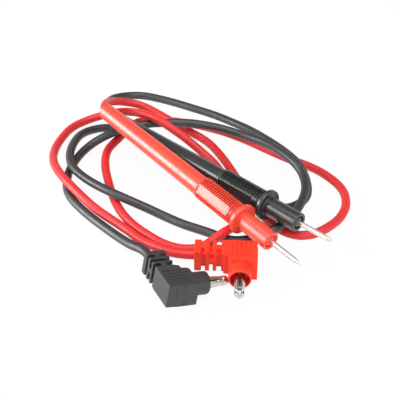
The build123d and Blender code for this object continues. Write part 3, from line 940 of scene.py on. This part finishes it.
@dataclass
class Placement:
    """Where a probe or a plug lies, and how it is turned."""

    origin: Vector
    axis: Vector
    roll: float

    @classmethod
    def read(cls, entries: Iterable[dict], name: str, ahead: float, roll: float) -> Placement:
        """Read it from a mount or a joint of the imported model.

        Args:
            entries: The mounts or the joints.
            name: Name of the one on the sub-assembly's axis.
            ahead: How far along the axis it lies.
            roll: Turn about the axis, in degrees.

        Returns:
            The placement.
        """
        entry = next(e for e in entries if e["name"] == name)
        axis = Vector(entry["axis"])
        return cls(Vector(entry["pos_m"]) / MM - axis * ahead, axis, roll)

    def matrix(self) -> Matrix:
        """From the sub-assembly's own axes to the model's, both in millimetres.

        Returns:
            The matrix of the place and the turn.
        """
        heading = math.atan2(self.axis.y, self.axis.x)
        pitch = math.asin(-self.axis.z)
        turn = Matrix.Rotation(heading, 4, "Z") @ Matrix.Rotation(pitch, 4, "Y")
        turn = turn @ Matrix.Rotation(math.radians(self.roll), 4, "X")
        return Matrix.Translation(self.origin) @ turn

    def point(self, x: float, y: float = 0.0) -> Vector:
        """Own point, in the model's millimetres."""
        return self.matrix() @ Vector((x, y, 0.0))


@dataclass
class Lead:
    """Soft PVC lead on one smooth curve from the handle to the strain relief."""

    colour: Colour
    handle: Placement
    plug: Placement
    diameter: float = 3.6
    order: int = 3
    smoothness: int = 14         # pieces between two points of the curve
    roundness: int = 8

    def points(self) -> list[Vector]:
        """Control points of the curve, straight at both ends.

        Returns:
            The points, in the model's millimetres.
        """
        lay = LAYS[self.colour]
        x, y = RELIEF_MOUTH
        return [
            self.handle.point(HANDLE_MOUTH), self.handle.point(HANDLE_MOUTH - lay.first_run),
            *map(Vector, lay.route), self.plug.point(x, y + LAST_RUN), self.plug.point(x, y),
        ]

    def build(self, shop: Workshop, moulding: Piece) -> None:
        """Make the lead's curve and register it.

        Args:
            shop: Where the finish comes from.
            moulding: The plug's moulding at the lead's far end; not used.
        """
        name, node = self.colour.named("soft_lead"), self.colour.named("lead")
        data = bpy.data.curves.new(name, "CURVE")
        data.dimensions = "3D"
        spline = data.splines.new("NURBS")
        points = self.points()
        spline.points.add(len(points) - 1)
        for target, point in zip(spline.points, points):
            target.co = (*(point * MM), 1.0)
        spline.order_u = self.order
        spline.use_endpoint_u = True
        spline.resolution_u = self.smoothness
        data.bevel_depth = self.diameter / 2 * MM
        data.bevel_resolution = self.roundness
        data.use_fill_caps = True
        data.materials.append(shop.material(node))
        piece = shop.register(loose(name, data), ROOT_BODY, node)


# ---- probe


@dataclass
class Probe:
    """Pen-shaped handle in two mouldings with a steel needle.

    Distances run forwards from the front face of the finger guard.
    """

    colour: Colour
    place: Placement
    hair: float = 0.05           # a step so short that it looks like a sharp edge
    grip_back: float = -25.0
    grip_radius: float = 4.45
    root_radius: float = 4.17
    collar: float = 1.2
    guard_radius: float = 6.25
    guard_back: float = -1.9
    guard_round: float = 0.55
    flare_back: float = -3.8
    flare_radius: float = 4.8
    nose_radius: float = 3.8
    nose_end: float = 15.0
    recess_radius: float = 2.7
    recess_floor: float = 14.0
    recess_draft: float = 0.15
    boss_radius: float = 1.95
    boss_face: float = 14.8
    flat_ends: Pair = (-23.55, -5.95)
    flat_height: float = 4.03
    flat_rim: float = 0.34
    flat_sink: float = 0.17
    flat_pitch: float = 2.0
    flat_steps: int = 7
    spoke_degrees: tuple[float, ...] = (
        0, 6, 12, 17, 23, 31, 37, 43, 49, 55, 61, 67, 73, 79, 85, 90)
    spoke_hair: float = 0.6
    pad_first: float = 0.66
    pad_pitch: float = 1.12
    pads_around: int = 32
    pad_rings: int = 18
    pad_size: Triple = (0.82, 0.62, 0.62)  # length, width and height
    pad_margin: float = 0.3
    barrel_back: float = -89.5
    barrel_lap: float = 0.04
    barrel_front_radius: float = 4.15
    barrel_rear_radius: float = 3.5
    barrel_round: float = 1.2
    spigot: Pair = (0.4, 3.1)    # reach into the grip and radius
    mouth_radius: float = 2.25
    lead_radius: float = 1.82
    needle_radius: float = 1.0
    needle_root: float = 1.2
    needle_end: float = 30.5
    cup: Triple = (-12.0, -6.0, 1.3)  # back, front and radius
    needle_collar: Pair = (-1.0, 1.6)  # front and radius

    def flat_half(self) -> float:
        """Half the width of a flat."""
        return math.sqrt(self.grip_radius ** 2 - self.flat_height ** 2)

    def spokes(self) -> list[float]:
        """Angles of the grip's rings, crowded at the edges of the flats.

        Returns:
            The angles, in radians.
        """
        outer = math.asin(self.flat_half() / self.grip_radius)
        inner = math.atan((self.flat_half() - self.flat_rim) / self.flat_height)
        hair = math.radians(self.spoke_hair)
        marks = [outer, outer + hair, inner, inner - hair]
        quarter = sorted(marks + [math.radians(a) for a in self.spoke_degrees])
        half = quarter + [math.pi - a for a in reversed(quarter[:-1])]
        return half + [a + math.pi for a in half[1:-1]]

    def grip_shape(self, x: float, radius: float, angle: float) -> float:
        """Radius of the grip's skin, with the two outlined flats.

        Args:
            x: Distance along the grip.
            radius: Radius without the flats.
            angle: Angle round the grip, 0 in the middle of a flat.

        Returns:
            The radius there.
        """
        start, end = self.flat_ends
        if not start <= x <= end or radius < self.root_radius - 0.01:
            return radius
        side = abs(math.sin(angle))
        if side > self.flat_half() / self.grip_radius + TINY:
            return radius
        height = self.flat_height
        sunk = math.tan(math.asin(side)) * height < self.flat_half() - self.flat_rim - 0.02
        if sunk and start + self.flat_rim < x < end - self.flat_rim:
            height -= self.flat_sink
        return height / abs(math.cos(angle))

    def skin(self) -> Mesh:
        """Nose, guard and grip, without the pads.

        Returns:
            The mesh, in millimetres.
        """
        start, end = self.flat_ends
        rim, root, hair = self.flat_rim, self.root_radius, self.hair
        back, shelf = self.grip_back, self.grip_back + self.collar
        rear = rounded([(back, 0, 0), (back, self.grip_radius, 0.25),
                        (shelf, self.grip_radius, 0.12), (shelf + 0.1, root, 0)])
        steps = [start - hair, start, start + rim, start + rim + hair]
        steps += [start + rim + self.flat_pitch * k for k in range(1, self.flat_steps + 1)]
        steps += [end - rim - hair, end - rim, end, end + hair]
        front = rounded([
            (self.flare_back - 0.1, root, 0), (self.flare_back, root, 0.2),
            (self.guard_back, self.flare_radius, 0.25),
            (self.guard_back, self.guard_radius, self.guard_round),
            (0, self.guard_radius, self.guard_round), (0, self.nose_radius, 0.3),
            (self.nose_end, self.nose_radius, 0.32), (self.nose_end, self.recess_radius, 0.2),
            (self.recess_floor, self.recess_radius - self.recess_draft, 0.2),
            (self.recess_floor, self.boss_radius + self.recess_draft, 0.15),
            (self.boss_face, self.boss_radius, 0.35), (self.boss_face, 0, 0),
        ])
        return turned(rear + [(x, root) for x in steps] + front, self.spokes(), self.grip_shape)

    def grip(self, finish: Material) -> Mesh:
        """Grip in one moulding, with the pads of its knurl and the bottoms of its grooves marked
        for painted shade.

        Args:
            finish: Material of the pads.

        Returns:
            The mesh, in millimetres.
        """
        start, end = self.flat_ends
        shelf, margin = self.grip_back + self.collar, self.pad_margin
        length, width, height = self.pad_size
        pads = knurl_tree().grow({
            "Rings": self.pad_rings, "Around": self.pads_around, "First": shelf + self.pad_first,
            "Pitch": self.pad_pitch, "Radius": self.root_radius,
            "Pad Length": length, "Pad Width": width, "Pad Height": height,
            "Flat Start": start - margin, "Flat End": end + margin,
            "Flat Reach": self.flat_half() + margin, "Material": finish,
        })
        mesh = joined([self.skin(), pads])
        # Painted shade: vertices at the bottom of the knurl's grooves, off the flats, are marked
        # so that the finish darkens them.
        painted_knurl_shade = mesh.attributes.new(KNURL_SHADE_ATTRIBUTE, "FLOAT", "POINT")
        for vertex, value in zip(mesh.vertices, painted_knurl_shade.data):
            x, y, z = vertex.co
            low = math.hypot(y, z) < self.root_radius + 0.02 and shelf < x < self.flare_back
            flat = abs(y) <= self.flat_half() + self.hair and start < x < end
            value.value = 1.0 if low and not flat else 0.0
        return mesh

    def barrel(self) -> Mesh:
        """Tapered rear barrel with a rounded tail and a flared mouth.

        Returns:
            The mesh, in millimetres.
        """
        front, back = self.grip_back, self.barrel_back
        reach, spigot = self.spigot
        return lathed([
            (front + reach, spigot, 0), (front - self.barrel_lap, spigot, 0),
            (front - self.barrel_lap, self.barrel_front_radius, 0.22),
            (back, self.barrel_rear_radius, self.barrel_round), (back, self.mouth_radius, 0.25),
            (HANDLE_MOUTH, self.lead_radius, 0.1), (HANDLE_MOUTH + 0.2, 0, 0),
        ], steps=6, spokes=72)

    def needle(self) -> Mesh:
        """Needle with its collar and solder cup behind the guard.

        Returns:
            The mesh, in millimetres.
        """
        tip, cone, soft = LAYS[self.colour].point.value
        cup_back, cup_front, cup = self.cup
        collar_front, collar = self.needle_collar
        root = self.boss_face - 0.1
        return lathed([
            (cup_back, cup, 0.1), (cup_front, cup, 0.05),
            (cup_front, collar, 0.1), (collar_front, collar, 0.1),
            (collar_front, self.needle_root, 0), (root, self.needle_root, 0.06),
            (root, self.needle_radius, 0), (self.needle_end - cone, self.needle_radius, 0.6),
            (self.needle_end, tip, soft),
        ], steps=5, spokes=40)

    def build(self, shop: Workshop) -> None:
        """Make the handle's pieces and register them.

        Args:
            shop: Where they are finished.
        """
        named = self.colour.named
        for piece, mesh, node in (
                ("grip", self.grip(shop.material(named("grip_body"))), "grip_body"),
                ("barrel", self.barrel(), "rear_barrel"),
                ("steel_needle", self.needle(), "needle")):
            shop.finish(named(piece), mesh, self.place.matrix(), ROOT_BODY, named(node))


# ---- plug


@dataclass
class Plug:
    """Right-angle 4 mm plug with a finned strain relief and a turning spring cage."""

    colour: Colour
    place: Placement
    back: float = -5.9
    face: float = 5.9
    half_width: float = 6.3
    half_height: float = 4.5
    step: Pair = (3.3, 0.2)      # length and depth, opposite the strain relief
    neck: Pair = (3.0, 2.0)      # cut back beside the strain relief, along X and Y
    corner: float = 2.4
    edge: float = 0.42
    collar_radius: float = 4.25
    collar_end: float = 11.9
    collar_round: float = 0.9
    bore_radius: float = 3.55
    bore_floor: float = -1.55
    bore_flare: float = 0.7
    fin_x: Pair = (-5.9, 1.9)
    fin_height: float = 4.4
    fins: Triple = (1.3, 1.6, 2.6)
    gaps: Triple = (1.8, 1.35, 1.35)
    shoulder: float = 0.8
    core: Pair = (4.9, 5.1)      # width and height of the middle of the relief
    rib_upright: float = 2.1
    rib_across: float = 1.9
    ribs: int = 5                # finger ribs on each broad face
    rib_pitch: float = 1.66
    rib_size: Triple = (7.1, 0.86, 0.3)  # length, width and height
    rib_middle: Pair = (-1.1, 0.25)  # of the row, along X and Y
    lap: float = 0.3             # how far solids reach into each other before they are joined
    hole_ends: Triple = (14.0, 16.95, 17.3)  # start, start of the flare and end
    hole_radii: Pair = (1.83, 2.1)
    pin_back: float = -2.0
    shaft: float = 1.5
    pin_face: float = 6.9
    pin_shoulder: float = 1.0
    spindle: float = 1.25
    waist: float = 0.85
    waist_run: float = 0.8
    head_radius: float = 1.85
    head_round: float = 1.75
    head_start: float = 17.9
    pin_end: float = 20.5
    fold_start: float = 0.5      # behind the start of the head
    fold_run: float = 0.8
    fold_depth: float = 0.58
    fold_width: float = 0.2
    cage_start: float = 7.96
    cage_end: float = 17.84
    ring: float = 1.1
    ring_radius: float = 1.75
    ring_edge: Pair = (0.12, 0.1)  # bevel along the pin and across it
    wall: float = 0.3
    bow: float = 0.3
    bow_power: float = 0.7
    slot_half: float = 10.75     # degrees
    leaf_steps: int = 16         # cells of the wall along a leaf
    slot_steps: int = 6          # across a slot
    leaf_cells: int = 8          # across a leaf
    spindle_play: float = 0.05

    def outline(self) -> Outline:
        """Plan of the block, stepped back to the neck.

        Returns:
            The outline, closed by its first point.
        """
        top = self.half_width
        shelf = top - self.neck[1]
        inner = self.face - self.neck[0]
        step_x, step_y = self.back + self.step[0], self.step[1] - top
        return rounded([
            (0.0, -top, 0), (self.face, -top, self.edge), (self.face, shelf, self.corner),
            (inner, shelf, 0.15), (inner, top, self.edge), (self.back, top, self.edge),
            (self.back, step_y, self.edge), (step_x, step_y, 0.1), (step_x + 0.15, -top, 0.1),
            (0.0, -top, 0),
        ])[:-1]

    def relief(self) -> list[Mesh]:
        """Shoulder, core, fins and the ribs that turn a quarter at every gap.

        Returns:
            One mesh for each solid, in millimetres.
        """
        low, high = self.fin_x
        middle, tall, lap = (low + high) / 2, self.fin_height, self.lap
        root = self.half_width - 1.0
        y = self.half_width + self.shoulder
        end = y + sum(self.fins) + sum(self.gaps)

        def bar(x: float, z: float, start: float, stop: float, edge: float) -> Mesh:
            """Slab round the middle, with those half sizes."""
            return slab((middle - x, start, -z), (middle + x, stop, z), edge)

        solids = [slab((low, root, -tall), (high, y, tall), 0.3),
                  bar(self.core[0] / 2, self.core[1] / 2, root, end - 0.5, 0.3)]
        for i, (gap, fin) in enumerate(zip(self.gaps, self.fins)):
            x, z = ((self.rib_upright / 2, tall - 0.02) if i % 2 == 0
                    else ((high - low) / 2 - 0.02, self.rib_across / 2))
            solids.append(bar(x, z, y - lap, y + gap + lap, 0.12))
            y += gap
            solids.append(slab((low, y, -tall), (high, y + fin, tall), 0.32))
            y += fin
        return solids

    def housing(self, finish: Material) -> Mesh:
        """Block, collar, finger ribs and strain relief in one moulding.

        Args:
            finish: Material of the ribs.

        Returns:
            The mesh, in millimetres.
        """
        block = prism(self.outline(), -self.half_height, self.half_height, self.edge)
        rim, past = self.collar_end, self.collar_end + 0.5
        collar = lathed([
            (0, self.collar_radius, 0), (self.face + 0.02, self.collar_radius, 0),
            (rim, self.collar_radius, self.collar_round),
        ], steps=6, spokes=72)
        bore = lathed([
            (self.bore_floor, self.bore_radius, 0), (rim - 0.25, self.bore_radius, 0.3),
            (past, self.bore_radius + self.bore_flare, 0),
        ], steps=6, spokes=64)
        start, mouth, end = self.hole_ends
        small, wide = self.hole_radii
        hole = lathed([(start, small, 0), (mouth, small, 0), (end, wide, 0)], steps=1, spokes=40)
        hole.transform(Matrix.Translation((sum(self.fin_x) / 2, 0, 0))
                       @ Matrix.Rotation(math.pi / 2, 4, "Z"))
        length, width, height = self.rib_size
        shift_x, shift_y = self.rib_middle
        ribs = rib_tree().grow({
            "Count": self.ribs, "Pitch": self.rib_pitch,
            "Rib Length": length, "Rib Width": width, "Rib Height": height,
            "Seat": self.half_height, "Shift X": shift_x, "Shift Y": shift_y, "Material": finish,
        })
        return carved(block, [collar, *self.relief(), ribs], [bore, hole])

    def head_shape(self, x: float, radius: float, angle: float) -> float:
        """Radius of the pin, with four folds pressed into its head.

        Args:
            x: Distance along the pin.
            radius: Radius without the folds.
            angle: Angle round the pin.

        Returns:
            The radius there.
        """
        run = x - self.head_start - self.fold_start
        if run < 0:
            return radius
        off = abs(angle % (math.pi / 2) - math.pi / 4) / self.fold_width
        depth = self.fold_depth * min(1.0, run / self.fold_run)
        return radius * (1.0 - depth * math.exp(-off ** 2))

    def leaves(self) -> Pair:
        """Where the bowed leaves start and end, between the cage's rings."""
        return self.cage_start + self.ring, self.cage_end - self.ring

    def pin(self) -> Mesh:
        """Pin with its shoulder, waisted spindle and folded head.

        Returns:
            The mesh, in millimetres.
        """
        start, end = self.leaves()
        face, head, run = self.pin_face, self.head_radius, self.waist_run
        shoulder = face + self.pin_shoulder
        return lathed([
            (self.pin_back, self.shaft, 0), (face, self.shaft, 0), (face, head, 0.15),
            (shoulder, head, 0.15), (shoulder, self.spindle, 0),
            (start, self.spindle, 0), (start + run, self.waist, 0.6), (end - run, self.waist, 0.6),
            (end, self.spindle, 0), (self.head_start, self.spindle, 0),
            (self.head_start, head, 0.3), (self.pin_end, head, self.head_round),
        ], steps=8, spokes=96, shape=self.head_shape)

    def leaf_radius(self, x: float) -> float:
        """Outer radius of the cage: rings, with bowed leaves between them.

        Args:
            x: Distance along the pin.

        Returns:
            The radius there.
        """
        start, end = self.leaves()
        share = min(max((x - start) / (end - start), 0.0), 1.0)
        return self.ring_radius + self.bow * math.sin(math.pi * share) ** self.bow_power

    def cage(self) -> Mesh:
        """Four bowed leaves between two rings, as one wall with four slots.

        Returns:
            The mesh, in millimetres.
        """
        start, end = self.leaves()
        bevel, drop = self.ring_edge
        xs = [self.cage_start, self.cage_start + bevel, start - bevel, start]
        along, across, slot = self.leaf_steps, self.leaf_cells, self.slot_steps
        xs += [start + (end - start) * k / along for k in range(1, along)]
        xs += [end, end + bevel, self.cage_end - bevel, self.cage_end]
        half = math.radians(self.slot_half)
        middle = slot // 2
        quarter = [half * k / middle for k in range(-middle, middle + 1)]
        quarter += [half + (math.pi / 2 - 2 * half) * k / across for k in range(1, across)]
        angles = [q + math.pi / 2 * i for i in range(4) for q in quarter]
        radii = [self.leaf_radius(x) for x in xs]
        outer = [radii[0] - drop, *radii[1:-1], radii[-1] - drop]
        inner = [max(radius - self.wall, self.spindle + self.spindle_play) for radius in radii]
        build = bmesh.new()
        skins = [{(i, k): build.verts.new((x, -size * math.sin(a), size * math.cos(a)))
                  for i, (x, size) in enumerate(zip(xs, sizes)) for k, a in enumerate(angles)}
                 for sizes in (outer, inner)]
        first, last = xs.index(start), xs.index(end) - 1

        def metal(i: int, k: int) -> bool:
            """Whether a cell of the wall lies outside the slots, which narrow at their ends."""
            narrow = i in (first, last)
            return not (first <= i <= last and narrow <= k % len(quarter) < slot - narrow)

        cells = {(i, k) for i in range(len(xs) - 1) for k in range(len(angles)) if metal(i, k)}
        for i, k in sorted(cells):
            n = (k + 1) % len(angles)
            corners = [(i, k), (i, n), (i + 1, n), (i + 1, k)]
            build.faces.new([skins[0][c] for c in corners])
            build.faces.new([skins[1][c] for c in reversed(corners)])
            beside = [(i - 1, k), (i, n), (i + 1, k), (i, (k - 1) % len(angles))]
            for cell, a, b in zip(beside, corners, corners[1:] + corners[:1]):
                if cell not in cells:
                    build.faces.new((skins[0][b], skins[0][a], skins[1][a], skins[1][b]))
        bmesh.ops.delete(build, geom=[v for v in build.verts if not v.link_faces], context="VERTS")
        return baked(build)

    def build(self, shop: Workshop) -> Piece:
        """Make the plug's pieces and register them.

        Args:
            shop: Where they are finished.

        Returns:
            The moulding that the lead goes into.
        """
        named, matrix = self.colour.named, self.place.matrix()
        turn = Matrix.Rotation(math.radians(LAYS[self.colour].cage_turn), 4, "X")
        housing = self.housing(shop.material(named("plug_housing")))
        moulding = shop.finish(named("plug_moulding"), housing, matrix, ROOT_BODY,
                               named("plug_housing"))
        shop.finish(named("pin"), self.pin(), matrix, ROOT_BODY, named("plug_pin"))
        shop.finish(named("cage_leaves"), self.cage(), matrix @ turn, named("cage"),
                    named("spring_cage"))
        return moulding


def main() -> None:
    """Build the view, the leads and the pieces on them."""
    logging.basicConfig(level=logging.INFO)
    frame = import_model()
    Studio().build()
    record = frame["record"]
    shop = Workshop({s["node"]: s["material_slot"] for s in record["subparts"]})
    for name, node in frame["nodes"].items():
        node.data.materials.clear()
        node.data.materials.append(shop.material(name))
    for colour, lay in LAYS.items():
        probe = Placement.read(record["mounts"], colour.named("needle"), NEEDLE_MIDDLE,
                               lay.probe_roll)
        plug = Placement.read(frame["joints"], colour.named("cage_turn"), CAGE_MIDDLE,
                              lay.plug_roll)
        Probe(colour, probe).build(shop)
        Lead(colour, probe, plug).build(shop, Plug(colour, plug).build(shop))


if __name__ == "__main__":
    main()
